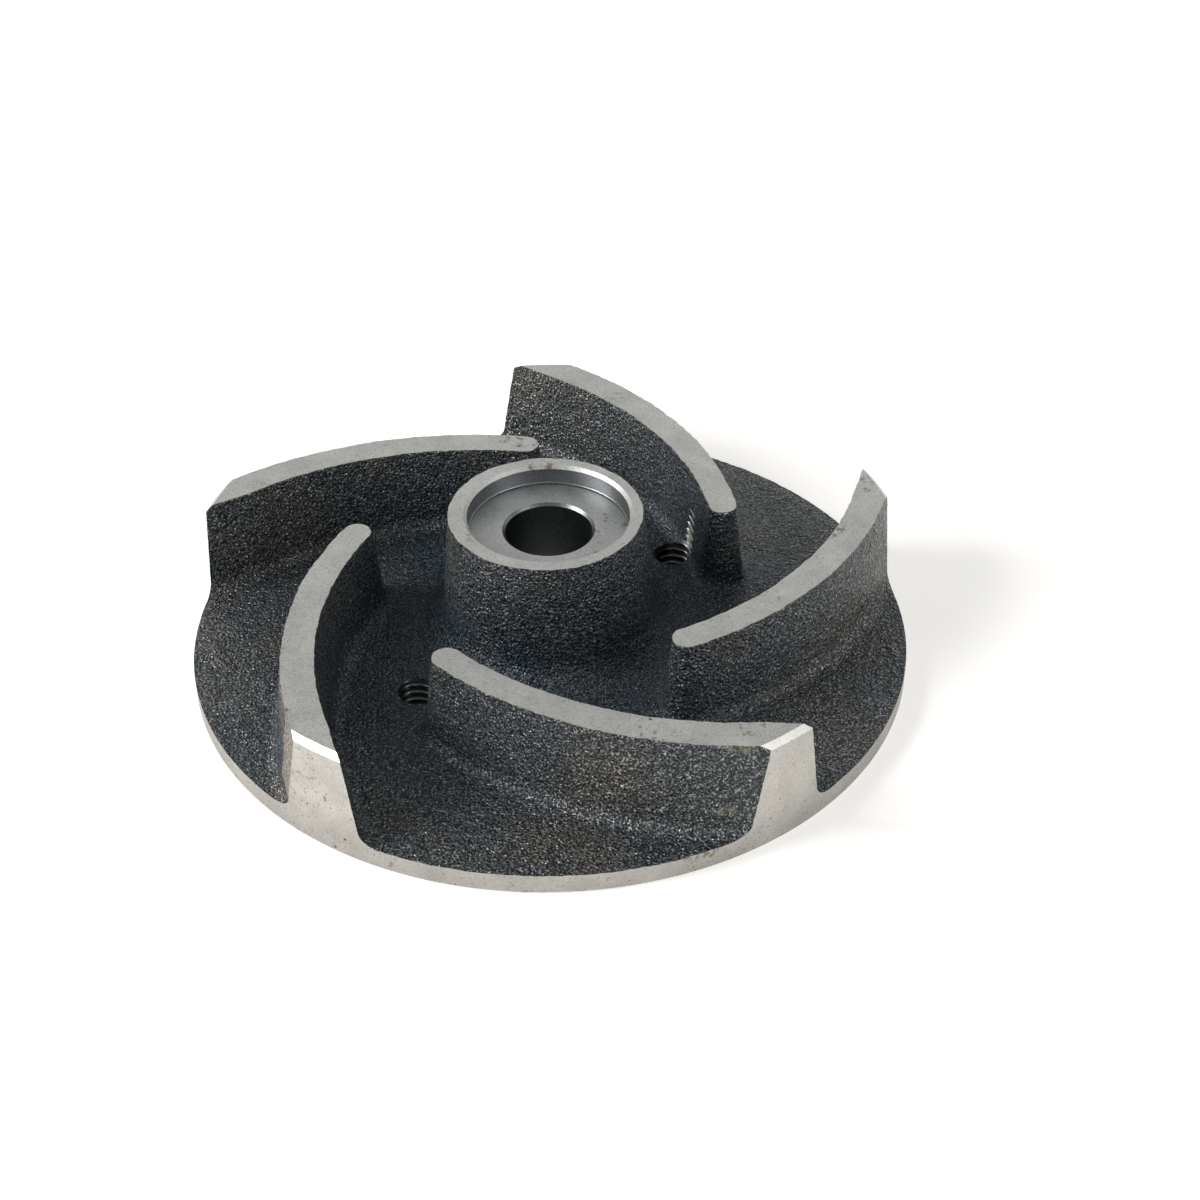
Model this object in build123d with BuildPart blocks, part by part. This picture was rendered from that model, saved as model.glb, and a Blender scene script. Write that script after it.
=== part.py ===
"""Semi-open pump impeller: one sand casting in grey iron, turned on its faces.

Millimetres.  +Z is the shaft axis, the flat back of the plate lies on Z = 0
and the five vanes stand up from it.  Seen from above, the vanes sweep out
anticlockwise from the hub.
"""

import os
from math import acos, atan2, degrees, isclose, radians, sin, tan

from build123d import *

# Turned envelope
outer_radius = 53.0  # rim and vane ends, turned together
vane_top_height = 17.8  # faced tops of the vanes
hub_top_height = 24.7  # faced top of the hub
rim_thickness = 3.3  # plate at the rim, back face to cast face
back_edge_chamfer = 0.4  # broken edge between rim and back face
tip_top_chamfer = 0.8  # broken edge between vane top and turned end

# Cast plate and hub
plate_slope = 3.1  # degrees, the cast face climbs towards the hub
hub_top_radius = 14.1
hub_draft = 5.5  # degrees
hub_base_fillet = 5.0

# Vanes: the camber is one arc, thickened on both sides
vane_count = 5
camber_radius = 56.6
camber_centre_offset = 30.3  # shaft axis to the centre of the camber arc
nose_centre_radius = 28.5  # shaft axis to the centre of the nose round
nose_thickness = 4.3
tip_thickness = 4.9
vane_phase = -7.6  # degrees, the first camber centre lies opposite
wall_draft = 6.0  # degrees, walls spread from the top down
vane_base_fillet = 2.0
vane_root_depth = 2.0  # how far a vane is carried down into the plate
blunting_depth = 0.9  # taken off the inner wall at the trailing corner
blunting_length = 2.6  # reach of that blunting in from the rim
trailing_run_out = 3.5  # cast vane beyond the turned rim

# Hub machining
bore_diameter = 12.7
bore_chamfer = 0.4
counterbore_diameter = 23.6
counterbore_depth = 3.0
counterbore_lip_chamfer = 0.5
counterbore_floor_fillet = 0.4

# Tapped jack-screw holes, 1/4-20 UNC, drawn at tap drill size
jack_count = 2
jack_circle_radius = 25.2
jack_phase = 40.0  # degrees
jack_drill_diameter = 5.1

# Plate and hub as cast, the plate left wider than the turned rim
run_out_radius = outer_radius + trailing_run_out
cast_radius = run_out_radius + tip_thickness + 2 * vane_base_fillet
slope = tan(radians(plate_slope))
draft = tan(radians(hub_draft))
plate_height_at_axis = rim_thickness + outer_radius * slope
cast_rim_height = plate_height_at_axis - cast_radius * slope
hub_foot_radius = (hub_top_radius + (hub_top_height - plate_height_at_axis) * draft) / (
    1 - slope * draft
)
hub_foot_height = plate_height_at_axis - hub_foot_radius * slope

with BuildPart() as impeller:
    with BuildSketch(Plane.XZ) as casting_profile:
        with BuildLine():
            Polyline(
                (0, 0),
                (cast_radius, 0),
                (cast_radius, cast_rim_height),
                (hub_foot_radius, hub_foot_height),
                (hub_top_radius, hub_top_height),
                (0, hub_top_height),
                close=True,
            )
        make_face()
        hub_foot = (hub_foot_radius, hub_foot_height)
        fillet(casting_profile.vertices().sort_by_distance(hub_foot)[0], hub_base_fillet)
    revolve(axis=Axis.Z)


def camber_angle(distance):
    """Angle on the camber arc where it lies this far from the shaft axis."""
    squares = camber_centre_offset**2 + camber_radius**2 - distance**2
    return degrees(acos(squares / (2 * camber_centre_offset * camber_radius)))


def on_arc(centre, radius, angle):
    """Point of the arc about this centre, with the angle in degrees from +X."""
    return centre + Vector(radius, 0).rotate(Axis.Z, angle)


def bearing(centre, point):
    """Angle in degrees from +X at which a point is seen from the centre."""
    ray = point - centre
    return degrees(atan2(ray.Y, ray.X))


# One vane in plan: each wall is an arc about its own centre.  The two centres lie
# either side of the camber's, along its tangent at the nose, so that the vane
# thickens towards the rim.  Both arcs touch the nose circle.
nose_angle = camber_angle(nose_centre_radius)
tip_angle = camber_angle(outer_radius)
run_out_angle = camber_angle(run_out_radius)
blunt_angle = camber_angle(outer_radius - blunting_length)
thickening = tip_thickness - nose_thickness
centre_shift = thickening / (2 * sin(radians(tip_angle - nose_angle)))
camber_centre = Vector(-camber_centre_offset, 0)
nose_centre = on_arc(camber_centre, camber_radius, nose_angle)
outer_centre = on_arc(camber_centre, centre_shift, nose_angle + 90)
inner_centre = on_arc(camber_centre, centre_shift, nose_angle - 90)
nose_radius = nose_thickness / 2
outer_arc_radius = (nose_centre - outer_centre).length + nose_radius
inner_arc_radius = (nose_centre - inner_centre).length - nose_radius
outer_start = bearing(outer_centre, nose_centre)
inner_start = bearing(inner_centre, nose_centre)

# The blunted corner leaves the inner wall in a straight line
blunting_rate = blunting_depth / (tip_angle - blunt_angle)
blunting_at_run_out = blunting_rate * (run_out_angle - blunt_angle)
blunting_ratio = 1 + blunting_at_run_out / inner_arc_radius
vane_root_height = rim_thickness - vane_root_depth

# The vane in section, at its top and at its root, and the drafted walls between
with BuildPart() as vane:
    for height in (vane_root_height, vane_top_height):
        growth = (vane_top_height - height) * tan(radians(wall_draft))
        outer_radius_here = outer_arc_radius + growth
        inner_radius_here = inner_arc_radius - growth
        with BuildSketch(Plane.XY.offset(height)):
            with BuildLine():
                outer_wall = ThreePointArc(
                    on_arc(outer_centre, outer_radius_here, outer_start),
                    on_arc(outer_centre, outer_radius_here, (outer_start + run_out_angle) / 2),
                    on_arc(outer_centre, outer_radius_here, run_out_angle),
                )
                inner_wall = ThreePointArc(
                    on_arc(inner_centre, inner_radius_here, inner_start),
                    on_arc(inner_centre, inner_radius_here, (inner_start + blunt_angle) / 2),
                    on_arc(inner_centre, inner_radius_here, blunt_angle),
                )
                ThreePointArc(
                    outer_wall @ 0,
                    on_arc(nose_centre, nose_radius + growth, nose_angle - 90),
                    inner_wall @ 0,
                )
                Polyline(
                    inner_wall @ 1,
                    on_arc(inner_centre, inner_radius_here * blunting_ratio, run_out_angle),
                    outer_wall @ 1,
                )
            make_face()
    loft(ruled=True)

with impeller:
    with PolarLocations(0, vane_count, start_angle=vane_phase):
        add(vane.part)
    plate_face = impeller.faces().filter_by(GeomType.CONE).sort_by(SortBy.AREA)[-1]
    vane_roots = plate_face.edges().filter_by(GeomType.BSPLINE)
    fillet(vane_roots, vane_base_fillet)

    # Turned envelope: rim, vane ends and tops, hub top
    step_radius = hub_foot_radius  # between the hub and the vane noses
    with BuildSketch(Plane.XZ):
        with BuildLine():
            Polyline(
                (0, 0),
                (outer_radius - back_edge_chamfer, 0),
                (outer_radius, back_edge_chamfer),
                (outer_radius, vane_top_height - tip_top_chamfer),
                (outer_radius - tip_top_chamfer, vane_top_height),
                (step_radius, vane_top_height),
                (step_radius, hub_top_height),
                (0, hub_top_height),
                close=True,
            )
        make_face()
    revolve(axis=Axis.Z, mode=Mode.INTERSECT)

    # Shaft bore under a counterbore
    bore_radius = bore_diameter / 2
    counterbore_radius = counterbore_diameter / 2
    with Locations((0, 0, hub_top_height)):
        CounterBoreHole(bore_radius, counterbore_radius, counterbore_depth)

    def rings(radius):
        """Circular edges of this radius, from the lowest up."""
        circles = impeller.edges().filter_by(GeomType.CIRCLE)
        return circles.filter_by(lambda e: isclose(e.radius, radius)).sort_by(Axis.Z)

    chamfer(rings(bore_radius), bore_chamfer)
    chamfer(rings(counterbore_radius)[-1], counterbore_lip_chamfer)
    fillet(rings(counterbore_radius)[0], counterbore_floor_fillet)

    # Jack-screw holes through the plate
    with Locations((0, 0, vane_top_height)):
        with PolarLocations(jack_circle_radius, jack_count, start_angle=jack_phase):
            Hole(jack_drill_diameter / 2)

impeller.part.label = "impeller"

os.makedirs("parts", exist_ok=True)
export_step(impeller.part, "parts/impeller.step")
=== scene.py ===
import math

import bmesh
import bpy
import numpy as np
from mathutils import Matrix, Vector, noise
from mathutils.geometry import delaunay_2d_cdt


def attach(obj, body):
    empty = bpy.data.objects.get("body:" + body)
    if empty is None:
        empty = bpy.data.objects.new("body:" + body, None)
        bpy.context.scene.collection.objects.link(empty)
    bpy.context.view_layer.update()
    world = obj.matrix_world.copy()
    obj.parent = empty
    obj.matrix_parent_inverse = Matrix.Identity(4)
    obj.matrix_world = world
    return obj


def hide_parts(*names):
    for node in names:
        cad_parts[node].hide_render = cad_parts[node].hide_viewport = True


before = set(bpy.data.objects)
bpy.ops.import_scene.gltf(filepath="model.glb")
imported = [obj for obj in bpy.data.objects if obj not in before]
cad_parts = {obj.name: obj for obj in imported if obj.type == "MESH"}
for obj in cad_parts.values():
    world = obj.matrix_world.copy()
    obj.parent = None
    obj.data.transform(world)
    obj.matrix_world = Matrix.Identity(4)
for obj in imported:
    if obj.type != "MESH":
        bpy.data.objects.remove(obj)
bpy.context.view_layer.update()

MM = 0.001  # in metres

# ---------------------------------------------------------------------------
# Sizes in millimetres, as in the CAD source
# ---------------------------------------------------------------------------
RIM_RADIUS = 53.0
RIM_THICKNESS = 3.3
VANE_TOP = 17.8
HUB_TOP = 24.7
BACK_BREAK = 0.4
TIP_BREAK = 0.8
SLOPE = math.tan(math.radians(3.1))

HUB_RADIUS = 14.1
HUB_DRAFT = math.tan(math.radians(5.5))
HUB_FILLET = 5.0

CAMBER_RADIUS = 56.6
CAMBER_OFFSET = 30.3
NOSE_AT = 28.5
NOSE_THICKNESS = 4.3
TIP_THICKNESS = 4.9
FIRST_VANE_AT = -7.6  # degrees
WALL_DRAFT = math.radians(6.0)
ROOT_FILLET = 2.0
BLUNT_REACH = 2.6
VANES = 5

BORE_RADIUS = 6.35
BORE_BREAK = 0.4
RECESS_RADIUS = 11.8
RECESS_DEPTH = 3.0
RECESS_LIP = 0.5
RECESS_FILLET = 0.4

TAP_RADIUS = 3.175
TAP_MINOR = 2.55
TAP_PITCH = 1.27
TAP_CIRCLE = 25.2
TAP_ANGLE = 40.0
TAP_START = -1.53  # below the back face
TAP_REACH = (16.4, 9.0)  # height that each hole's tap reached

# ---------------------------------------------------------------------------
# What sets this casting apart from its drawing, in millimetres
# ---------------------------------------------------------------------------
# One entry per vane, anticlockwise from above, starting beside the first
# tapped hole: how far the nose is moved inward along the camber, how much the
# trailing corner is blunted, and how far the whole vane stands off its place
NOSE_SHIFT = (0.7, -0.5, -0.35, 0.1, 0.2)
BLUNTING = (0.5, 1.2, 0.8, 1.0, 0.5)
BLUNT_EASE = 0.35  # share of the blunted stretch over which the wall turns
VANE_SHIFT = ((0, 0), (0, 0.12), (-0.35, 0), (0, 0), (0.1, 0))

HUB_OFF_CENTRE = (-0.40, -0.15)
EDGE_BREAK = 0.05  # broken edge round the faced tops, coloured lighter as a painted highlight
WORN_VANE = 2  # its outer wall is bare beside the end, over this many columns
WORN_COLUMNS = 12

SWELLS = ((0.10, 7.0), (0.08, 2.3), (0.12, 1.1))  # height and wavelength
RAGGED_SIZE = 0.9  # wavelength of the ragged edges, and their depths
RAGGED_VANE = 0.07
RAGGED_HUB = 0.10
RAGGED_SEED = len(SWELLS) + 1  # the swells take the seeds before it

# ---------------------------------------------------------------------------
# Fineness of the mesh
# ---------------------------------------------------------------------------
STEP = 0.47  # millimetres between points on the cast skin
WALL_ROWS = round((VANE_TOP - TIP_BREAK - 6.0) / STEP)  # down to a root fillet at about 6 mm
TOP_STEP = 1.3  # inside the faced tops
BAND_STEP = 0.9  # on the turned rim
CHAMFER_ROWS = 3
FILLET_ROWS = 7
NOSE_COLUMNS = 25
END_COLUMNS = 14
HUB_COLUMNS = 216
FLANK_ROWS = 39
HUB_FILLET_ROWS = 17
LONG_ROWS = 12  # down the bore and out across the back face
CUT_ROWS = 5  # down the cut through the rim's band
TAP_COLUMNS = 48
TAP_ROWS_PER_PITCH = 12
SOFT_BELOW = math.radians(28)  # machined faces look round below this angle

SKIN, FACED, BORED, THREAD, RIM, FLOOR, WORN_AND_HIGHLIGHT = range(7)


def unit(angle):
    return np.stack([np.cos(angle), np.sin(angle)], -1)


def camber_angle(distance):
    """Angle round the camber's centre at this distance from the shaft axis."""
    squares = CAMBER_OFFSET**2 + CAMBER_RADIUS**2 - distance**2
    return math.acos(squares / (2 * CAMBER_OFFSET * CAMBER_RADIUS))


def plate_z(r):
    return RIM_THICKNESS + (RIM_RADIUS - r) * SLOPE


def end_radius(z):
    """Radius at which the turning cuts a vane off at this height."""
    return RIM_RADIUS - np.clip(z - (VANE_TOP - TIP_BREAK), 0, None)


def wave(points, size, seed):
    """Smooth noise of about this wavelength, -1 to 1, at each point."""
    shift = Vector((seed * 7.3, seed * 3.1, -seed * 5.7))
    return np.array([noise.noise(Vector(p) / size + shift) for p in points.tolist()])


def unevenness(points):
    """Height of the cast skin over its drawn surface."""
    flat = points.reshape(-1, 3)
    height = sum(h * wave(flat, size, seed) for seed, (h, size) in enumerate(SWELLS, 1))
    return height.reshape(points.shape[:-1])


# ---------------------------------------------------------------------------
# Mesh store and filling
# ---------------------------------------------------------------------------
class Store:
    """Points, faces and each face's kind, gathered for one mesh."""

    def __init__(self):
        self.points = []
        self.faces = []
        self.kinds = []
        self.count = 0

    def add(self, points, faces, kind):
        self.points.append(points)
        self.faces += [tuple(i + self.count for i in f) for f in faces]
        self.kinds += [kind] * len(faces)
        self.count += len(points)

    def grid(self, points, kind, close=False):
        """Quads over rows of points, joined end to start where close is set."""
        rows, columns = points.shape[:2]
        index = np.arange(rows * columns).reshape(rows, columns)
        if close:
            index = np.concatenate([index, index[:, :1]], 1)
        corners = [index[:-1, :-1], index[:-1, 1:], index[1:, 1:], index[1:, :-1]]
        quads = np.stack(corners, -1).reshape(-1, 4)
        self.add(points.reshape(-1, 3), quads.tolist(), kind)


def inside(polygon, q):
    """Which of the points q lie inside the closed polygon."""
    hit = np.zeros(len(q), bool)
    for (x0, y0), (x1, y1) in zip(polygon, np.roll(polygon, -1, 0)):
        if y0 == y1:
            continue
        crosses = (y0 > q[:, 1]) != (y1 > q[:, 1])
        hit ^= crosses & (q[:, 0] < (x1 - x0) * (q[:, 1] - y0) / (y1 - y0) + x0)
    return hit


def near(points, q, reach):
    """Which of q lie within reach of any of the points."""
    close = np.zeros(len(q), bool)
    batch = 64  # points at a time, to spare memory
    for start in range(0, len(points), batch):
        d = q[:, None] - points[None, start : start + batch]
        close |= ((d**2).sum(-1) < reach**2).any(1)
    return close


def lattice(low, high, step):
    """Points of a triangular lattice over a box."""
    rows = np.arange(low[1], high[1], step * math.sqrt(3) / 2)
    columns = np.arange(low[0], high[0], step)
    x = columns[None] + (np.arange(len(rows)) % 2)[:, None] * step / 2
    y = np.broadcast_to(rows[:, None], x.shape)
    return np.stack([x, y], -1).reshape(-1, 2)


def fill(outer, step, holes=()):
    """Triangles over the outer loop less the holes, as plan points and triangles.
    The loops' own points come first and unmoved."""
    loops = [outer, *holes]
    bounds = np.concatenate(loops)
    # the lattice starts off the outline, so that none of its points lies on a side
    q = lattice(outer.min(0) + step * 0.4, outer.max(0), step)
    q = q[inside(outer, q)]
    for hole in holes:
        q = q[~inside(hole, q)]
    q = q[~near(bounds, q, step * 0.6)]
    edges = []
    base = 0
    for loop in loops:
        n = len(loop)
        edges += [(base + i, base + (i + 1) % n) for i in range(n)]
        base += n
    plan = [Vector(p) for p in np.concatenate([bounds, q]).tolist()]
    points, _, triangles, _, _, _ = delaunay_2d_cdt(plan, edges, [], 0, 1e-6)
    points = np.array([tuple(p) for p in points])
    triangles = np.array(triangles)
    middle = points[triangles].mean(1)
    keep = inside(outer, middle)
    for hole in holes:
        keep &= ~inside(hole, middle)
    return points, triangles[keep]


# ---------------------------------------------------------------------------
# Shapes
# ---------------------------------------------------------------------------
class Vane:
    """Skin of one vane as a grid: rows run from the top down into the root
    fillet, columns from the rim along the outer wall, round the nose and back
    along the inner wall."""

    def __init__(self, number):
        turn = math.radians(FIRST_VANE_AT + 360 / VANES * number)
        cos, sin = math.cos(turn), math.sin(turn)
        self.turn = np.array([[cos, -sin], [sin, cos]])
        nose = camber_angle(NOSE_AT)
        self.tip = camber_angle(RIM_RADIUS)
        # the walls' centres lie apart, which thickens the vane toward the tip
        growth = (TIP_THICKNESS - NOSE_THICKNESS) / (2 * math.sin(self.tip - nose))
        centre = np.array([-CAMBER_OFFSET, 0.0])
        side = growth * unit(nose + math.pi / 2)
        nominal = centre + CAMBER_RADIUS * unit(nose)
        outer_centre, inner_centre = centre + side, centre - side
        self.outer_radius = np.linalg.norm(nominal - outer_centre) + NOSE_THICKNESS / 2
        self.inner_radius = np.linalg.norm(nominal - inner_centre) - NOSE_THICKNESS / 2
        self.blunt_from = camber_angle(RIM_RADIUS - BLUNT_REACH)
        self.blunting = BLUNTING[number]
        shift = np.array(VANE_SHIFT[number]) @ self.turn
        nose_at = nose - NOSE_SHIFT[number] / CAMBER_RADIUS
        self.outer_centre = outer_centre + shift
        self.inner_centre = inner_centre + shift
        self.nose_centre = centre + CAMBER_RADIUS * unit(nose_at) + shift
        to_outer = self.nose_centre - self.outer_centre
        to_inner = self.nose_centre - self.inner_centre
        self.outer_start = math.atan2(to_outer[1], to_outer[0])
        self.inner_start = math.atan2(to_inner[1], to_inner[0])
        self.nose_radius = self.outer_radius - np.linalg.norm(to_outer)

    def outline(self, wall, angle):
        """Point of the top outline and the outward normal there."""
        if wall == "outer":
            return self.outer_centre + self.outer_radius * unit(angle), unit(angle)
        if wall == "nose":
            return self.nose_centre + self.nose_radius * unit(angle), unit(angle)
        past = np.clip((angle - self.blunt_from) / (self.tip - self.blunt_from), 0, None)
        radius = self.inner_radius + self.blunting * past**2 / (past + BLUNT_EASE)
        return self.inner_centre + radius[..., None] * unit(angle), -unit(angle)

    def point(self, wall, angle, z, fillet):
        """Point and normal at this angle. Where fillet is 0 or more, it is the
        fraction round the root fillet. Elsewhere z is a height, or 0 to 1 from
        the foot of the tip's chamfer down to the fillet."""
        p, n = self.outline(wall, angle)
        draft = math.tan(WALL_DRAFT)
        halfway = RIM_RADIUS - 13.0  # for a first guess, which the rounds below correct
        reach = np.full(p.shape[:-1], (VANE_TOP - plate_z(halfway)) * draft + ROOT_FILLET)
        for _ in range(3):
            foot = p + reach[..., None] * n
            r = np.linalg.norm(foot, axis=-1)
            radial = foot / r[..., None]
            rise = -SLOPE * (n * radial).sum(-1)
            # the fillet's centre is ROOT_FILLET off the wall and off the plate
            a = ROOT_FILLET * math.hypot(1, draft) + draft * VANE_TOP
            b = plate_z(r) - rise * reach + ROOT_FILLET * np.hypot(1, rise)
            centre_out = (a - draft * b) / (1 + draft * rise)
            centre_z = b + rise * centre_out
            reach = centre_out + ROOT_FILLET * rise / np.hypot(1, rise)
        first = math.pi + math.atan(draft)
        last = 1.5 * math.pi + np.arctan(rise)
        turn = first + np.clip(fillet, 0, 1) * (last - first)
        touch = centre_z + ROOT_FILLET * math.sin(first)
        chamfer_foot = VANE_TOP - TIP_BREAK
        on_wall = chamfer_foot + (touch - chamfer_foot) * np.clip(z, 0, 1)
        height = np.where(z > 1.5, z, on_wall)
        curved = fillet >= 0
        outward = (VANE_TOP - height) * draft
        outward = np.where(curved, centre_out + ROOT_FILLET * np.cos(turn), outward)
        height = np.where(curved, centre_z + ROOT_FILLET * np.sin(turn), height)
        n_out = np.where(curved, -np.cos(turn), math.cos(WALL_DRAFT))
        n_up = np.where(curved, -np.sin(turn), math.sin(WALL_DRAFT))
        point = np.concatenate([p + outward[..., None] * n, height[..., None]], -1)
        return point, np.concatenate([n_out[..., None] * n, n_up[..., None]], -1)

    def end_angle(self, wall, z, fillet, start):
        """Angle at which each row meets the turned envelope, by halving, and 0.12
        radians past the tip at most."""
        low = np.full(z.shape, start)
        high = np.full(z.shape, self.tip + 0.12)
        for _ in range(40):
            middle = (low + high) / 2
            p, _ = self.point(wall, middle, z, fillet)
            past = np.hypot(p[:, 0], p[:, 1]) > end_radius(p[:, 2])
            high = np.where(past, middle, high)
            low = np.where(past, low, middle)
        return (low + high) / 2

    def skin(self):
        chamfer = [VANE_TOP, VANE_TOP - EDGE_BREAK, VANE_TOP - TIP_BREAK / 2]
        wall = np.linspace(0, 1, WALL_ROWS + 1)
        z = np.concatenate([chamfer, wall, np.zeros(FILLET_ROWS)])
        fillet = np.full(z.shape, -1.0)
        fillet[-FILLET_ROWS:] = np.linspace(0, 1, FILLET_ROWS + 1)[1:]
        outer_end = self.end_angle("outer", z, fillet, self.outer_start)[:, None]
        inner_end = self.end_angle("inner", z, fillet, self.inner_start)[:, None]
        outer_columns = round(self.outer_radius * (self.tip - self.outer_start) / STEP)
        inner_columns = round(self.inner_radius * (self.tip - self.inner_start) / STEP)
        inward = np.linspace(0, 1, outer_columns + 1)
        outward = np.linspace(0, 1, inner_columns + 1)
        nose = np.linspace(self.outer_start, self.inner_start - math.pi, NOSE_COLUMNS + 2)[1:-1]
        angles = {
            "outer": outer_end + (self.outer_start - outer_end) * inward,
            "nose": np.broadcast_to(nose, (len(z), len(nose))),
            "inner": self.inner_start + (inner_end - self.inner_start) * outward,
        }
        parts = []
        for wall, angle in angles.items():
            heights = np.broadcast_to(z[:, None], angle.shape)
            fractions = np.broadcast_to(fillet[:, None], angle.shape)
            parts.append(self.point(wall, angle, heights, fractions))
        p = np.concatenate([part[0] for part in parts], 1)
        n = np.concatenate([part[1] for part in parts], 1)
        p[..., :2] = p[..., :2] @ self.turn.T
        n[..., :2] = n[..., :2] @ self.turn.T
        n[0, :, 2] = 0
        return self.roughened(p, n)

    @staticmethod
    def roughened(drawn, n):
        """The uneven skin over the drawn one, still flat on top and cut off by the
        turning at both ends."""
        h = unevenness(drawn)
        h[0] = h[1] - EDGE_BREAK
        p = drawn + n * h[..., None]
        ragged = wave(drawn[:2].reshape(-1, 3), RAGGED_SIZE, RAGGED_SEED).reshape(2, -1, 1)
        p[:2] += RAGGED_VANE * n[:2] * ragged
        for column in (0, -1):
            z = drawn[:, column, 2]
            r = np.hypot(p[:, column, 0], p[:, column, 1])
            p[:, column, :2] *= (end_radius(z) / r)[:, None]
            p[:, column, 2] = z
        p[0, :, 2] = VANE_TOP
        return p


def arc_between(a, b, radius, z, count):
    """Points from a to b round the shaft axis, both ends left out."""
    start, end = math.atan2(a[1], a[0]), math.atan2(b[1], b[0])
    end += 2 * math.pi * round((start - end) / (2 * math.pi))
    t = np.linspace(start, end, count + 1)[1:-1]
    return np.column_stack([radius * np.cos(t), radius * np.sin(t), np.full(len(t), z)])


def on_plate(plan):
    """Plan points lifted to the uneven cast face of the plate."""
    p = np.column_stack([plan, plate_z(np.hypot(plan[:, 0], plan[:, 1]))])
    p[:, 2] += unevenness(p)
    return p


def revolve(profile):
    """Grid from a profile of radius and height, one row per point of it."""
    around = unit(np.linspace(0, 2 * math.pi, HUB_COLUMNS + 1)[:-1])
    xy = profile[:, None, :1] * around[None]
    return np.concatenate([xy, np.broadcast_to(profile[:, None, 1:], xy.shape[:2] + (1,))], -1)


def add_vane(store, p, number):
    # the broken edge round the top, coloured lighter as a painted highlight
    store.grid(p[:2], WORN_AND_HIGHLIGHT)
    worn = WORN_COLUMNS if number == WORN_VANE else 0
    store.grid(p[1:, worn:], SKIN)
    if worn:
        fillet = -FILLET_ROWS - 1
        store.grid(p[1:fillet, : worn + 1], WORN_AND_HIGHLIGHT)
        store.grid(p[fillet - 1 :, : worn + 1], SKIN)
    # turned chamfer across the end's top edge
    rows = []
    for row in p[: CHAMFER_ROWS + 1]:
        z = row[0, 2]
        middle = arc_between(row[-1], row[0], end_radius(z), z, END_COLUMNS)
        rows.append(np.concatenate([row[-1:], middle, row[:1]]))
    store.grid(np.array(rows), FACED)
    # faced top
    top = np.concatenate([p[0], rows[0][1:-1]])
    plan, triangles = fill(top[:, :2], TOP_STEP)
    lifted = np.column_stack([plan, np.full(len(plan), VANE_TOP)])
    store.add(lifted, triangles.tolist(), FACED)


def hub_skin():
    """Cast part of the hub, from its faced top down its flank and round its
    fillet to the plate."""
    foot_radius = HUB_RADIUS + (HUB_TOP - plate_z(0)) * HUB_DRAFT
    foot_radius /= 1 - SLOPE * HUB_DRAFT
    foot = np.array([foot_radius, plate_z(foot_radius)])
    start = np.array([HUB_RADIUS, HUB_TOP])
    up = (start - foot) / np.linalg.norm(start - foot)
    out = np.array([1, -SLOPE]) / math.hypot(1, SLOPE)
    half = math.acos(float(up @ out)) / 2
    tangent = HUB_FILLET / math.tan(half)
    centre = foot + (up + out) / np.linalg.norm(up + out) * HUB_FILLET / math.sin(half)
    ends = [foot + direction * tangent - centre for direction in (up, out)]
    first, last = (math.atan2(y, x) % (2 * math.pi) for x, y in ends)
    arc = np.linspace(first, last, HUB_FILLET_ROWS)
    down = np.linspace(0, 1, FLANK_ROWS + 1)[:-1, None]
    flank = start + (foot + up * tangent - start) * down
    profile = np.concatenate([flank, centre + HUB_FILLET * unit(arc)])
    normals = np.concatenate([np.tile([up[1], -up[0]], (FLANK_ROWS, 1)), -unit(arc)])
    hub = revolve(profile)
    n = revolve(normals)
    n[0, :, 2] = 0
    n[-1] = (0, 0, 1)
    # the core shifted a little in the mould, so the cast hub is off the bore's axis
    foot_z = hub[-1, 0, 2]
    lean = np.clip((hub[..., 2:] - foot_z) / (HUB_TOP - foot_z), 0, 1)
    hub[..., :2] += lean * np.array(HUB_OFF_CENTRE)
    hub = hub + n * unevenness(hub)[..., None]
    hub[0] += RAGGED_HUB * n[0] * wave(hub[0], RAGGED_SIZE, RAGGED_SEED)[:, None]
    return hub


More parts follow.
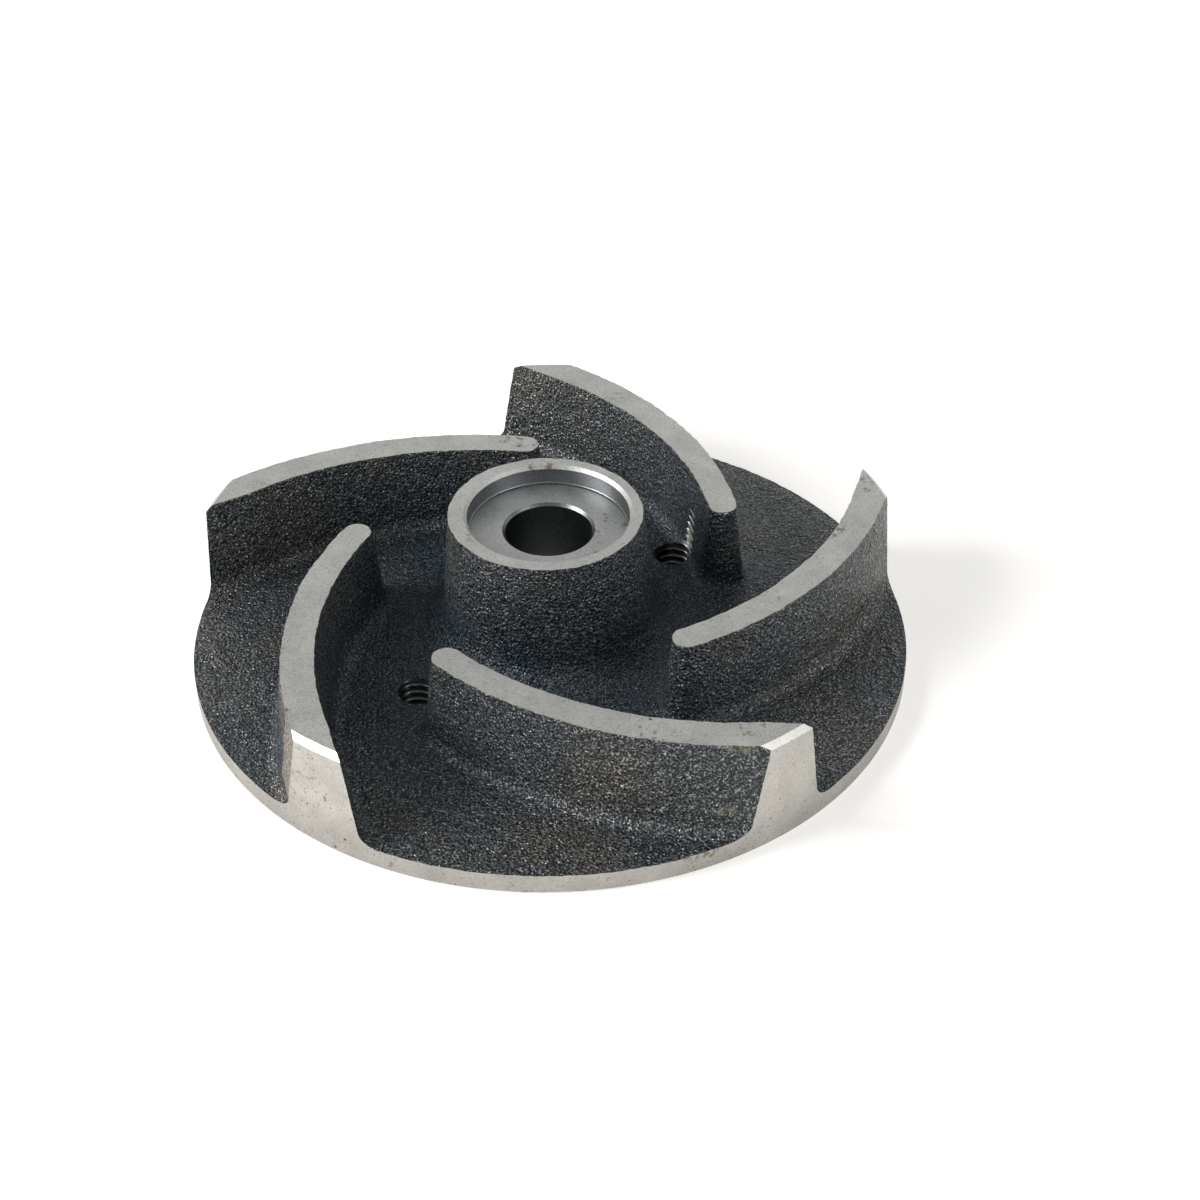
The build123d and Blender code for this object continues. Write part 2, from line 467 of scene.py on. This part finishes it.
def add_turned_faces(store, hub):
    """Hub face, counterbore, shaft bore and back face. Returns the ring where the
    back face's broken edge meets the rim."""
    floor_z = HUB_TOP - RECESS_DEPTH
    lip = RECESS_RADIUS + RECESS_LIP
    fillet_centre = np.array([RECESS_RADIUS - RECESS_FILLET, floor_z + RECESS_FILLET])
    bore_edge = BORE_RADIUS + BORE_BREAK
    recess = [
        np.linspace([HUB_RADIUS, HUB_TOP], [lip, HUB_TOP], 4)[1:],
        np.linspace([lip, HUB_TOP], [RECESS_RADIUS, HUB_TOP - RECESS_LIP], 3)[1:],
        fillet_centre + RECESS_FILLET * unit(np.linspace(0, -math.pi / 2, 6)),
        np.linspace([RECESS_RADIUS - RECESS_FILLET, floor_z], [bore_edge, floor_z], 6)[1:],
        np.linspace([bore_edge, floor_z], [BORE_RADIUS, floor_z - BORE_BREAK], 3)[1:],
    ]
    face_end, lip_end, corner_end, floor_end, bore_top = np.cumsum([len(p) for p in recess]) - 1
    turned = revolve(np.concatenate(recess))
    store.grid(np.concatenate([hub[:1], turned[: face_end + 1]]), FACED, close=True)
    store.grid(turned[face_end : lip_end + 1], FLOOR, close=True)
    store.grid(turned[lip_end : corner_end + 1], BORED, close=True)
    store.grid(turned[corner_end : floor_end + 1], FLOOR, close=True)
    store.grid(turned[floor_end : bore_top + 1], BORED, close=True)
    bore = [[BORE_RADIUS, floor_z - BORE_BREAK], [BORE_RADIUS, BACK_BREAK]]
    bore = np.linspace(*bore, LONG_ROWS)
    store.grid(np.concatenate([turned[-1:], revolve(bore)[1:]]), BORED, close=True)
    back = [
        [[BORE_RADIUS, BACK_BREAK], [BORE_RADIUS + BACK_BREAK, 0]],
        np.linspace([BORE_RADIUS + BACK_BREAK, 0], [RIM_RADIUS - BACK_BREAK, 0], LONG_ROWS)[1:],
        [[RIM_RADIUS, BACK_BREAK]],
    ]
    back = revolve(np.concatenate(back))
    store.grid(back, FACED, close=True)
    return back[-1]


def add_plate(store, skins, hub):
    """Cast face of the plate, between the feet of the vanes and of the hub.
    Returns its stretches of edge along the rim, one after each vane."""
    outline = []
    edges = []
    for p, following in zip(skins, skins[1:] + skins[:1]):
        a, b = p[-1, -1], following[-1, 0]
        start, end = math.atan2(a[1], a[0]), math.atan2(b[1], b[0])
        end += 2 * math.pi * math.ceil((start - end) / (2 * math.pi))
        t = np.linspace(start, end, round(RIM_RADIUS * (end - start) / STEP) + 1)[1:-1]
        edges.append(on_plate(RIM_RADIUS * unit(t)))
        outline += [p[-1], edges[-1]]
    outline = np.concatenate(outline)
    foot = hub[-1]
    plan, triangles = fill(outline[:, :2], STEP, [foot[:, :2]])
    lifted = on_plate(plan)
    lifted[: len(outline) + len(foot)] = np.concatenate([outline, foot])
    store.add(lifted, triangles.tolist(), SKIN)
    return edges


def add_rim_band(store, skins, edges, low_ring):
    """Turned cylinder: the rim and the vanes' ends, unrolled for the filling."""
    upper = []
    for p, edge in zip(skins, edges):
        foot = p[CHAMFER_ROWS]
        across = arc_between(foot[0], foot[-1], RIM_RADIUS, VANE_TOP - TIP_BREAK, END_COLUMNS)
        upper += [p[: CHAMFER_ROWS - 1 : -1, 0], across, p[CHAMFER_ROWS:, -1], edge]
    upper = np.concatenate(upper)
    # the cut through the band lies on a point of the plate's edge
    upper = np.roll(upper, len(edges[-1]) // 2 - len(upper), 0)
    theta = np.unwrap(np.arctan2(upper[:, 1], upper[:, 0]))
    theta = np.append(theta, theta[0] + 2 * math.pi)
    upper = np.concatenate([upper, upper[:1]])
    low = np.arctan2(low_ring[:, 1], low_ring[:, 0])
    low = np.sort(np.mod(low - theta[0], 2 * math.pi)) + theta[0]
    down = np.linspace(0, 1, CUT_ROWS + 1)[1:-1]
    cut_z = upper[0, 2] + (BACK_BREAK - upper[0, 2]) * down
    # bowed, because triangles along a straight slanted cut would have no width
    cut_x = (theta[0] + (low[0] - theta[0]) * down**2) * RIM_RADIUS
    lap = 2 * math.pi * RIM_RADIUS
    top_line = np.column_stack([theta * RIM_RADIUS, upper[:, 2]])
    low_line = np.column_stack([low * RIM_RADIUS, np.full(len(low), BACK_BREAK)])
    left = np.column_stack([cut_x, cut_z])
    right = np.concatenate([left, low_line[:1]]) + [lap, 0]
    loop = np.concatenate([top_line, right, low_line[::-1], left[::-1]])
    plan, triangles = fill(loop, BAND_STEP)
    angle = plan[:, 0] / RIM_RADIUS
    rolled = [RIM_RADIUS * np.cos(angle), RIM_RADIUS * np.sin(angle), plan[:, 1]]
    store.add(np.column_stack(rolled), triangles.tolist(), RIM)


# ---------------------------------------------------------------------------
# Materials
# ---------------------------------------------------------------------------
class Nodes:
    """A node tree, with short calls for the nodes used here."""

    def __init__(self, tree, coordinates):
        self.tree = tree
        self.tree.nodes.clear()
        self.where = self.new("ShaderNodeTexCoord").outputs[coordinates]

    def new(self, kind, **values):
        node = self.tree.nodes.new(kind)
        for key, value in values.items():
            setattr(node, key, value)
        return node

    def link(self, a, b):
        self.tree.links.new(a, b)

    def axes(self):
        split = self.new("ShaderNodeSeparateXYZ")
        self.link(self.where, split.inputs[0])
        return split.outputs

    def noise(self, size_mm, detail=2.0, rough=0.5, where=None):
        node = self.new("ShaderNodeTexNoise")
        node.inputs["Scale"].default_value = 1 / (size_mm * MM)
        node.inputs["Detail"].default_value = detail
        node.inputs["Roughness"].default_value = rough
        self.link(where or self.where, node.inputs["Vector"])
        return node.outputs["Fac"]

    def grains(self, size_mm):
        node = self.new("ShaderNodeTexVoronoi")
        node.inputs["Scale"].default_value = 1 / (size_mm * MM)
        self.link(self.where, node.inputs["Vector"])
        return node.outputs["Distance"]

    def ramp(self, value, *stops):
        node = self.new("ShaderNodeValToRGB")
        while len(node.color_ramp.elements) < len(stops):
            node.color_ramp.elements.new(0.5)
        for element, (at, colour) in zip(node.color_ramp.elements, stops):
            element.position = at
            if isinstance(colour, (int, float)):
                colour = (colour, colour, colour)
            element.color = (*colour, 1)
        self.link(value, node.inputs["Fac"])
        return node.outputs["Color"]

    def math(self, operation, a, b=0, c=0):
        node = self.new("ShaderNodeMath", operation=operation)
        for socket, value in zip(node.inputs, (a, b, c)):
            if isinstance(value, (int, float)):
                socket.default_value = value
            else:
                self.link(value, socket)
        return node.outputs[0]

    def times(self, a, b):
        return self.math("MULTIPLY", a, b)

    def distance(self, a, b):
        """Length of the vector with the components a and b."""
        return self.math("SQRT", self.math("ADD", self.times(a, a), self.times(b, b)))

    def mix(self, factor, a, b, blend="MIX"):
        node = self.new("ShaderNodeMix", data_type="RGBA", blend_type=blend)
        for index, value in ((0, factor), (6, a), (7, b)):
            if isinstance(value, (int, float)):
                node.inputs[index].default_value = value
            elif isinstance(value, tuple):
                node.inputs[index].default_value = (*value, 1)
            else:
                self.link(value, node.inputs[index])
        return node.outputs[2]

    def tint(self, a, b):
        return self.mix(1.0, a, b, "MULTIPLY")

    def bump(self, height, distance_mm, strength=1.0, after=None):
        node = self.new("ShaderNodeBump")
        node.inputs["Strength"].default_value = strength
        node.inputs["Distance"].default_value = distance_mm * MM
        self.link(height, node.inputs["Height"])
        if after is not None:
            self.link(after, node.inputs["Normal"])
        return node.outputs["Normal"]

    def spots(self, places):
        """1 inside ragged stains at these places (x, y, z, radius in mm), 0 outside."""
        nearest = 10.0
        for x, y, z, radius in places:
            node = self.new("ShaderNodeVectorMath", operation="DISTANCE")
            self.link(self.where, node.inputs[0])
            node.inputs[1].default_value = (x * MM, y * MM, z * MM)
            away = self.math("DIVIDE", node.outputs["Value"], radius * MM)
            nearest = self.math("MINIMUM", away, nearest)
        ragged = self.math("MULTIPLY_ADD", self.noise(0.6, 3.0, 0.7), 2.4, nearest)
        return self.ramp(self.times(ragged, 0.25), (0.31, 1.0), (0.47, 0.0))


class Material(Nodes):
    def __init__(self, name):
        self.material = bpy.data.materials.new(name)
        self.material.use_nodes = True
        super().__init__(self.material.node_tree, "Object")
        out = self.new("ShaderNodeOutputMaterial")
        self.shader = self.new("ShaderNodeBsdfPrincipled")
        self.link(self.shader.outputs[0], out.inputs[0])

    def set(self, name, value):
        socket = self.shader.inputs[name]
        if isinstance(value, (int, float)):
            socket.default_value = value
        elif isinstance(value, tuple):
            socket.default_value = (*value, 1)
        else:
            self.link(value, socket)


# Stains and pits: x, y, z and radius in mm
SKIN_RUST = (
    (5.3, -40.8, 15.0, 0.7),
    (23.6, -45.6, 7.6, 1.1),
    (22.1, -45.5, 7.1, 1.0),
    (25.0, -44.5, 17.3, 1.5),
    (23.0, -44.4, 17.2, 1.1),
    (-35.8, -35.2, 16.4, 1.0),
)
FACE_STAINS = (
    (0.2, 12.1, 24.45, 1.3),
    (-2.4, 11.9, 24.45, 1.0),
    (48.3, 14.2, 17.8, 1.3),
    (47.9, 17.0, 17.8, 0.9),
    (-35.6, -35.0, 17.8, 0.9),
    (-22.0, -48.2, 1.5, 0.8),
)
FACE_PITS = (
    (-29.7, -43.9, 1.1, 0.45),
    (-28.1, -44.9, 3.2, 0.35),
    (-4.3, 28.0, 17.8, 0.45),
    (-33.2, -41.3, 6.5, 0.35),
    (13.0, -38.7, 17.8, 0.40),
)


def skin_material():
    """Black cast skin, with grains rubbed bright standing out of it."""
    m = Material("sand-cast skin")
    patches = m.noise(14.0, 3.0, 0.6)
    fine = m.noise(0.33, 1.5, 0.7)
    finer = m.noise(0.22, 1.0, 0.6)
    black = m.ramp(
        patches,
        (0.36, (0.0038, 0.0060, 0.0082)),
        (0.48, (0.0045, 0.0070, 0.0090)),
        (0.56, (0.0080, 0.0075, 0.0085)),
        (0.68, (0.0120, 0.0110, 0.0095)),
    )
    black = m.tint(black, m.ramp(finer, (0.40, 0.5), (0.52, 1.0), (0.66, 3.5)))
    shine = m.ramp(
        patches,
        (0.38, (0.318, 0.340, 0.337)),
        (0.50, (0.350, 0.367, 0.362)),
        (0.64, (0.405, 0.388, 0.358)),
    )
    # painted shade: bluish and darker low down and within 44 mm of the axis, where the vanes
    # and hub shade the plate
    x, y, z = m.axes()
    outward = m.times(m.distance(x, y), 1 / (60 * MM))
    middle = m.ramp(outward, (24 / 60, 1.0), (44 / 60, 0.0))
    upward = m.times(z, 1 / (20 * MM))
    middle = m.tint(middle, m.ramp(upward, (0.40, 1.0), (0.95, 0.25)))
    black = m.mix(middle, black, m.tint(black, (0.60, 0.95, 1.25)))
    shine = m.mix(middle, shine, m.tint(shine, (0.70, 0.86, 0.98)))
    rust = m.spots(SKIN_RUST)
    bright = m.ramp(fine, (0.45, 0.0), (0.55, 0.20), (0.68, 1.0))
    bright = m.times(bright, m.math("SUBTRACT", 1.0, rust))
    # painted shade also dims the bright grains there
    bright = m.times(bright, m.ramp(middle, (0.0, 1.0), (1.0, 0.55)))
    clean = m.mix(bright, black, shine)
    m.set("Base Color", m.mix(m.times(rust, 0.75), clean, (0.27, 0.25, 0.165)))
    m.set("Metallic", bright)
    m.set("Roughness", m.math("MULTIPLY_ADD", finer, 0.5, 0.08))
    m.set("Specular IOR Level", 0.38)
    lumps = m.bump(m.noise(0.8, 2.0, 0.6), 0.27)
    grain = m.bump(m.grains(0.45), 0.20, 1.0, lumps)
    m.set("Normal", m.bump(m.noise(0.26, 1.5, 0.7), 0.13, 1.0, grain))
    return m.material


def worn_and_highlight_material():
    """Lighter skin: a painted highlight along the tops' broken edges, and skin rubbed bare
    beside one vane's end.
    """
    m = Material("worn skin and painted highlight")
    tone = m.ramp(
        m.noise(0.36, 2.0, 0.7),
        (0.34, (0.040, 0.036, 0.035)),
        (0.50, (0.13, 0.115, 0.098)),
        (0.66, (0.36, 0.31, 0.24)),
    )
    m.set("Base Color", tone)
    m.set("Roughness", 0.55)
    m.set("Specular IOR Level", 0.5)
    m.set("Normal", m.bump(m.noise(0.5, 2.0, 0.7), 0.08))
    return m.material


def turned_material(name, colour, rough, groove_mm, pits=0.0):
    """Turned iron with tool marks round the shaft axis, specks, stains and pits.
    Where pits is set, there are more of them, and the colour darkens toward the bottom."""
    m = Material(name)
    fine = m.noise(0.30, 3.0, 0.65)
    broad = m.noise(5.0, 4.0, 0.6)
    dull = tuple(c * 0.86 for c in colour)
    light = tuple(min(c * 1.08, 1) for c in colour)
    tone = m.ramp(broad, (0.3, dull), (0.7, light))
    tone = m.tint(tone, m.ramp(fine, (0.28, 0.45), (0.42, 0.90), (0.6, 1.0), (0.78, 1.12)))
    blotches = m.times(m.noise(1.1, 3.0, 0.6), m.noise(9.0, 1.0, 0.5))
    tone = m.mix(m.ramp(blotches, (0.37, 0.0), (0.44, 0.75)), tone, (0.20, 0.155, 0.105))
    x, y, z = m.axes()
    if pits:
        # darker toward the bottom
        tone = m.tint(tone, m.ramp(m.times(z, 1 / (10 * MM)), (0.1, 0.76), (0.8, 1.0)))
        holes = m.math("MULTIPLY_ADD", broad, -pits, m.grains(1.2))
        tone = m.mix(m.ramp(holes, (0.0, 0.85), (0.10, 0.0)), tone, (0.09, 0.075, 0.06))
    tone = m.mix(m.times(m.spots(FACE_STAINS), 0.8), tone, (0.16, 0.125, 0.085))
    tone = m.mix(m.spots(FACE_PITS), tone, (0.06, 0.05, 0.04))
    m.set("Base Color", tone)
    m.set("Metallic", 1.0)
    m.set("Roughness", m.math("MULTIPLY_ADD", fine, 0.3, rough))
    lines = m.new("ShaderNodeCombineXYZ")
    m.link(m.math("ADD", m.distance(x, y), z), lines.inputs[0])
    grooves = m.bump(m.noise(0.22, 2.0, 0.7, lines.outputs[0]), groove_mm)
    m.set("Normal", m.bump(fine, 0.02, 0.7, grooves))
    return m.material


def thread_material():
    """Bright where the tap marked the vane's wall. In the holes, painted shade: dark on the
    crests and darker in the grooves. Both holes lie on one line through the shaft axis."""
    m = Material("tapped thread")
    x, y, z = m.axes()
    cos, sin = math.cos(math.radians(TAP_ANGLE)), math.sin(math.radians(TAP_ANGLE))
    along = m.math("ABSOLUTE", m.math("ADD", m.times(x, cos), m.times(y, sin)))
    along = m.math("SUBTRACT", along, TAP_CIRCLE * MM)
    across = m.math("ADD", m.times(x, -sin), m.times(y, cos))
    thread = TAP_RADIUS - TAP_MINOR
    out = m.distance(along, across)
    depth = m.math("MULTIPLY_ADD", out, 1 / (thread * MM), -TAP_MINOR / thread)
    # painted shade in the holes, deepest in the grooves; lighter above the plate's face, where
    # the tap marked the vane's wall
    hole = m.ramp(depth, (0.02, (0.13, 0.135, 0.135)), (0.30, (0.020, 0.022, 0.022)))
    above = m.ramp(m.times(z, 1 / (20 * MM)), (4.6 / 20, 0.0), (5.2 / 20, 1.0))
    m.set("Base Color", m.mix(above, hole, (0.20, 0.197, 0.19)))
    m.set("Metallic", 1.0)
    m.set("Roughness", 0.34)
    return m.material


# In the order of the kinds of face
materials = [
    skin_material(),
    turned_material("turned face", (0.65, 0.64, 0.60), 0.32, 0.010),
    # the dark colour of the bore, its chamfer and the recess wall is painted shade
    turned_material("bored face in painted shade", (0.19, 0.203, 0.21), 0.16, 0.016),
    thread_material(),
    turned_material("turned rim", (0.56, 0.54, 0.505), 0.40, 0.010, pits=0.10),
    turned_material("bored floor", (0.52, 0.52, 0.50), 0.34, 0.020),
    worn_and_highlight_material(),
]


# ---------------------------------------------------------------------------
# Objects
# ---------------------------------------------------------------------------
def make_object(name, store, merge_within):
    """Mesh object of what the store holds, its doubled points merged and its
    faces turned outward."""
    mesh = bpy.data.meshes.new(name)
    mesh.from_pydata((np.concatenate(store.points) * MM).tolist(), [], store.faces)
    for material in materials:
        mesh.materials.append(material)
    mesh.polygons.foreach_set("material_index", store.kinds)
    bm = bmesh.new()
    bm.from_mesh(mesh)
    bmesh.ops.remove_doubles(bm, verts=bm.verts, dist=merge_within)
    bmesh.ops.recalc_face_normals(bm, faces=bm.faces)
    bm.to_mesh(mesh)
    bm.free()
    made = bpy.data.objects.new(name, mesh)
    bpy.context.scene.collection.objects.link(made)
    return made


def tap(number):
    """The shape that a tap clears: a bore with a 60 degree thread, as a solid."""
    turns = np.linspace(0, 2 * math.pi, TAP_COLUMNS + 1)[:-1]
    z = np.arange(TAP_START, TAP_REACH[number], TAP_PITCH / TAP_ROWS_PER_PITCH)
    phase = (z[:, None] / TAP_PITCH - turns[None] / (2 * math.pi)) % 1.0
    # straight flanks between a narrow flat at the crest and another at the root
    depth = np.clip(1.25 - 2.875 * np.abs(phase - 0.5), 0, 1)
    r = TAP_MINOR + (TAP_RADIUS - TAP_MINOR) * depth
    centre = TAP_CIRCLE * unit(math.radians(TAP_ANGLE + 180 * number))
    x = centre[0] + r * np.cos(turns)
    y = centre[1] + r * np.sin(turns)
    p = np.stack([x, y, np.broadcast_to(z[:, None], x.shape)], -1)
    store = Store()
    store.grid(p, THREAD, close=True)
    for end in (p[0], p[-1]):
        store.add(end, [tuple(range(TAP_COLUMNS))], THREAD)
    return make_object("tap", store, 1e-7)


def tap_hole(casting, number):
    cutter = tap(number)
    cut = casting.modifiers.new("tap", "BOOLEAN")
    cut.operation = "DIFFERENCE"
    cut.solver = "EXACT"
    cut.object = cutter
    bpy.context.view_layer.update()
    shaped = casting.evaluated_get(bpy.context.evaluated_depsgraph_get())
    result = bpy.data.meshes.new_from_object(shaped)
    casting.modifiers.clear()
    casting.data = result
    bpy.data.objects.remove(cutter)


def set_shading(mesh):
    """Crisp edges between the machined faces and the skin, soft ones elsewhere."""
    bm = bmesh.new()
    bm.from_mesh(mesh)
    for face in bm.faces:
        face.smooth = True
    for edge in bm.edges:
        kinds = {face.material_index for face in edge.link_faces}
        if kinds in ({SKIN}, {WORN_AND_HIGHLIGHT, SKIN}):
            edge.smooth = True
        else:
            edge.smooth = len(kinds) == 1 and edge.calc_face_angle(0) < SOFT_BELOW
    bm.to_mesh(mesh)
    bm.free()


store = Store()
skins = [Vane(number).skin() for number in range(VANES)]
for number, skin in enumerate(skins):
    add_vane(store, skin, number)
hub = hub_skin()
store.grid(hub, SKIN, close=True)
low_ring = add_turned_faces(store, hub)
edges = add_plate(store, skins, hub)
add_rim_band(store, skins, edges, low_ring)

casting = make_object("casting", store, 2e-6)
for number in range(len(TAP_REACH)):
    tap_hole(casting, number)
set_shading(casting.data)

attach(casting, "root")
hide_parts("impeller")


# ---------------------------------------------------------------------------
# Stage, light and camera, in metres
# ---------------------------------------------------------------------------
FLOOR_SIZE = 6.0
FLOOR_DROP = 0.00002  # so that it doesn't share a plane with the back face
FADE_WIDTH = 2.0  # distance at which the floor's fade would end
SOFTBOX_SIZE = (0.5, 0.4)
SOFTBOX_TARGET = (0, 0, 0.01)
CAMERA_AT = (0, -0.268733, 0.211696)
CAMERA_LENS = 68.015
CAMERA_PITCH = math.radians(-37.078)
CAMERA_YAW = math.radians(1.579)
CAMERA_ROLL = math.radians(-0.264)

scene = bpy.context.scene
scene.view_settings.view_transform = "Standard"


def make_floor():
    bpy.ops.mesh.primitive_plane_add(size=FLOOR_SIZE, location=(0, 0, -FLOOR_DROP))
    floor = bpy.context.object
    floor.name = "floor"
    paper = Material("white paper")
    paper.set("Base Color", (0.80, 0.785, 0.757))
    paper.set("Roughness", 0.9)
    paper.set("Specular IOR Level", 0.1)
    paper.set("Emission Color", (1.0, 0.99, 0.97))
    # the sweep grows lighter away from the object, where less of the lamps' light falls
    x, y, _ = paper.axes()
    away = paper.times(paper.distance(x, y), 1 / FADE_WIDTH)
    paper.set("Emission Strength", paper.ramp(away, (0.15, 0.46), (0.55, 0.76)))
    floor.data.materials.append(paper.material)
    return floor


def make_world():
    """What the camera, metal and glass see is white at eye level, dimmer and
    cooler toward the ceiling. Matt surfaces get an even light."""
    world = bpy.data.worlds.new("studio")
    world.use_nodes = True
    sky = Nodes(world.node_tree, "Generated")
    out = sky.new("ShaderNodeOutputWorld")
    seen = sky.new("ShaderNodeBackground")
    seen.inputs["Strength"].default_value = 1.0
    _, _, height = sky.axes()
    sky.link(sky.ramp(height, (0.30, 1.0), (0.80, (0.34, 0.36, 0.385))), seen.inputs["Color"])
    room = sky.new("ShaderNodeBackground")
    room.inputs["Color"].default_value = (0.97, 0.985, 1, 1)
    room.inputs["Strength"].default_value = 0.36
    path = sky.new("ShaderNodeLightPath")
    white = path.outputs["Is Camera Ray"]
    for name in ("Is Glossy Ray", "Is Transmission Ray"):
        white = sky.math("MAXIMUM", white, path.outputs[name])
    mixer = sky.new("ShaderNodeMixShader")
    for socket, value in zip(mixer.inputs, (white, room.outputs[0], seen.outputs[0])):
        sky.link(value, socket)
    sky.link(mixer.outputs[0], out.inputs[0])
    return world


def softbox(name, at, watts):
    lamp = bpy.data.lights.new(name, "AREA")
    lamp.shape = "RECTANGLE"
    lamp.size, lamp.size_y = SOFTBOX_SIZE
    lamp.energy = watts
    holder = bpy.data.objects.new(name, lamp)
    scene.collection.objects.link(holder)
    holder.location = at
    holder.rotation_mode = "QUATERNION"
    aim = Vector(SOFTBOX_TARGET) - Vector(at)
    holder.rotation_quaternion = aim.to_track_quat("-Z", "Y")


def make_camera():
    """Camera at the reference view."""
    camera = bpy.data.cameras.new("camera")
    camera.sensor_width = 36.0
    camera.lens = CAMERA_LENS
    camera.clip_start = 0.01
    level = math.cos(CAMERA_PITCH)
    cos, sin = math.cos(CAMERA_YAW), math.sin(CAMERA_YAW)
    forward = Vector((sin * level, cos * level, math.sin(CAMERA_PITCH)))
    right = Vector((cos, -sin, 0))
    upward = right.cross(forward)
    cos, sin = math.cos(CAMERA_ROLL), math.sin(CAMERA_ROLL)
    rolled_right = cos * right + sin * upward
    rolled_up = -sin * right + cos * upward
    place = Matrix((rolled_right, rolled_up, -forward)).transposed().to_4x4()
    place.translation = CAMERA_AT
    holder = bpy.data.objects.new("camera", camera)
    scene.collection.objects.link(holder)
    holder.matrix_world = place
    return holder


floor = make_floor()
scene.world = make_world()
softbox("window left", (-0.75, -0.15, 0.50), 8.0)
softbox("window right", (0.7, -0.45, 0.55), 2.0)
scene.camera = make_camera()
